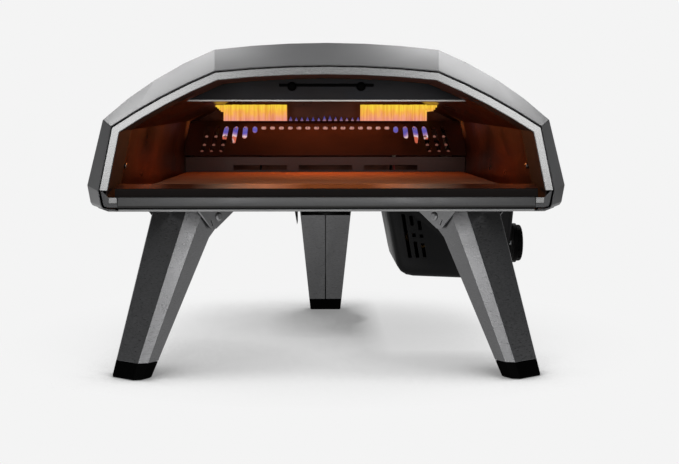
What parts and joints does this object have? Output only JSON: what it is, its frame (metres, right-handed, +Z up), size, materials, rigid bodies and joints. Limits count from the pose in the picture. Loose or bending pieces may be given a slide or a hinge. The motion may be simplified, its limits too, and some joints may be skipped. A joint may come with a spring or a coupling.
{
  "type": "portable pizza oven",
  "caption": "Portable gas pizza oven with a faceted metal body, an open mouth, a baking stone, folding splayed legs and a side knob.",
  "frame": {"origin": "on the ground under the middle of the oven", "axes": "+Z up, -Y out of the mouth, +X to the knob's side"},
  "size_m": [0.5288, 0.61, 0.367],
  "materials": {
    "charcoal_coat": "satin powder coat",
    "silver_trim": "satin",
    "dark_coat": "satin powder coat",
    "brushed_steel": "brushed across",
    "heated_steel": "heat tinted",
    "ceramic_wool": "matte fibre",
    "cordierite": "matte",
    "black_plastic": "fine texture",
    "black_rubber": "matte",
    "brass": "machined",
    "cast_aluminium": "die cast",
    "white_ceramic": "glazed",
    "red_lead": "silicone sleeve",
    "flame": "glowing gas"
  },
  "bodies": {
    "oven": {"back_panel": "dark_coat", "back_screw_1": "brushed_steel", "back_screw_2": "brushed_steel", "back_screw_3": "brushed_steel", "back_screw_4": "brushed_steel", "baffle_hanger": "dark_coat", "baffle_plate": "heated_steel", "base_pan": "dark_coat", "burner_guard": "heated_steel", "burner_housing": "black_plastic", "burner_saddle_left": "brushed_steel", "burner_saddle_right": "brushed_steel", "burner_tube": "brushed_steel", "corner_plate_left": "dark_coat", "corner_plate_right": "dark_coat", "front_rail": "dark_coat", "front_trim": "silver_trim", "gas_inlet": "brass", "gas_jet": "brass", "hanger_stud_left": "dark_coat", "hanger_stud_right": "dark_coat", "igniter_electrode": "white_ceramic", "ignition_lead": "red_lead", "inlet_pipe": "brass", "inner_back_wall": "heated_steel", "inner_liner": "heated_steel", "insulation_blanket": "ceramic_wool", "insulation_pad": "ceramic_wool", "leg_bracket_left": "silver_trim", "leg_bracket_rear": "silver_trim", "leg_bracket_right": "silver_trim", "liner_rivet_left": "heated_steel", "liner_rivet_right": "heated_steel", "lower_back_plate": "heated_steel", "mixing_tube": "brushed_steel", "outer_shell": "charcoal_coat", "outlet_pipe": "brass", "piezo_igniter": "white_ceramic", "pivot_pin_left": "brushed_steel", "pivot_pin_rear": "brushed_steel", "pivot_pin_right": "brushed_steel", "rail_cap_left": "silver_trim", "rail_cap_right": "silver_trim", "stone_rail_left": "heated_steel", "stone_rail_right": "heated_steel", "threshold_plate": "heated_steel", "valve_body": "cast_aluminium"},
    "valve_rotor": {"valve_rotor": "brass"},
    "knob": {"control_knob": "black_plastic", "knob_spindle": "brushed_steel"},
    "stone": {"baking_stone": "cordierite"},
    "leg_left": {"leg_left": "brushed_steel", "foot_left": "black_rubber"},
    "catch_left": {"leg_catch_left": "black_plastic"},
    "leg_right": {"leg_right": "brushed_steel", "foot_right": "black_rubber"},
    "catch_right": {"leg_catch_right": "black_plastic"},
    "leg_rear": {"leg_rear": "brushed_steel", "foot_rear": "black_rubber"},
    "catch_rear": {"leg_catch_rear": "black_plastic"}
  },
  "joints": [
    {"name": "knob_turn", "type": "hinge", "parent": "oven", "child": "valve_rotor", "pos_m": [0.2, 0.02, 0.1185], "axis": [1, 0, 0], "range_deg": [0, 200]},
    {"name": "knob_push", "type": "slide", "parent": "valve_rotor", "child": "knob", "axis": [-1, 0, 0], "range_m": [0, 0.003], "stiffness_N_per_m": 1500, "springref_m": -0.001},
    {"name": "stone_lift", "type": "slide", "parent": "oven", "child": "stone", "axis": [0, 0, 1], "range_m": [0, 0.02]},
    {"name": "leg_left_fold", "type": "hinge", "parent": "oven", "child": "leg_left", "pos_m": [-0.157, -0.1832, 0.1728], "axis": [0.8131, -0.5821, 0], "range_deg": [0, 121]},
    {"name": "catch_left_release", "type": "hinge", "parent": "oven", "child": "catch_left", "pos_m": [-0.19221, -0.15799, 0.1795], "axis": [0.5821, 0.8131, 0], "range_deg": [0, 12], "stiffness_Nm_per_rad": 0.1, "springref_deg": -5.73},
    {"name": "leg_right_fold", "type": "hinge", "parent": "oven", "child": "leg_right", "pos_m": [0.157, -0.1832, 0.1728], "axis": [0.8131, 0.5821, 0], "range_deg": [0, 121]},
    {"name": "catch_right_release", "type": "hinge", "parent": "oven", "child": "catch_right", "pos_m": [0.19221, -0.15799, 0.1795], "axis": [0.5821, -0.8131, 0], "range_deg": [0, 12], "stiffness_Nm_per_rad": 0.1, "springref_deg": -5.73},
    {"name": "leg_rear_fold", "type": "hinge", "parent": "oven", "child": "leg_rear", "pos_m": [0, 0.0931, 0.1728], "axis": [-1, 0, 0], "range_deg": [0, 107.5]},
    {"name": "catch_rear_release", "type": "hinge", "parent": "oven", "child": "catch_rear", "pos_m": [-0.0433, 0.0931, 0.1795], "axis": [0, 1, 0], "range_deg": [0, 12], "stiffness_Nm_per_rad": 0.1, "springref_deg": -5.73}
  ]
}
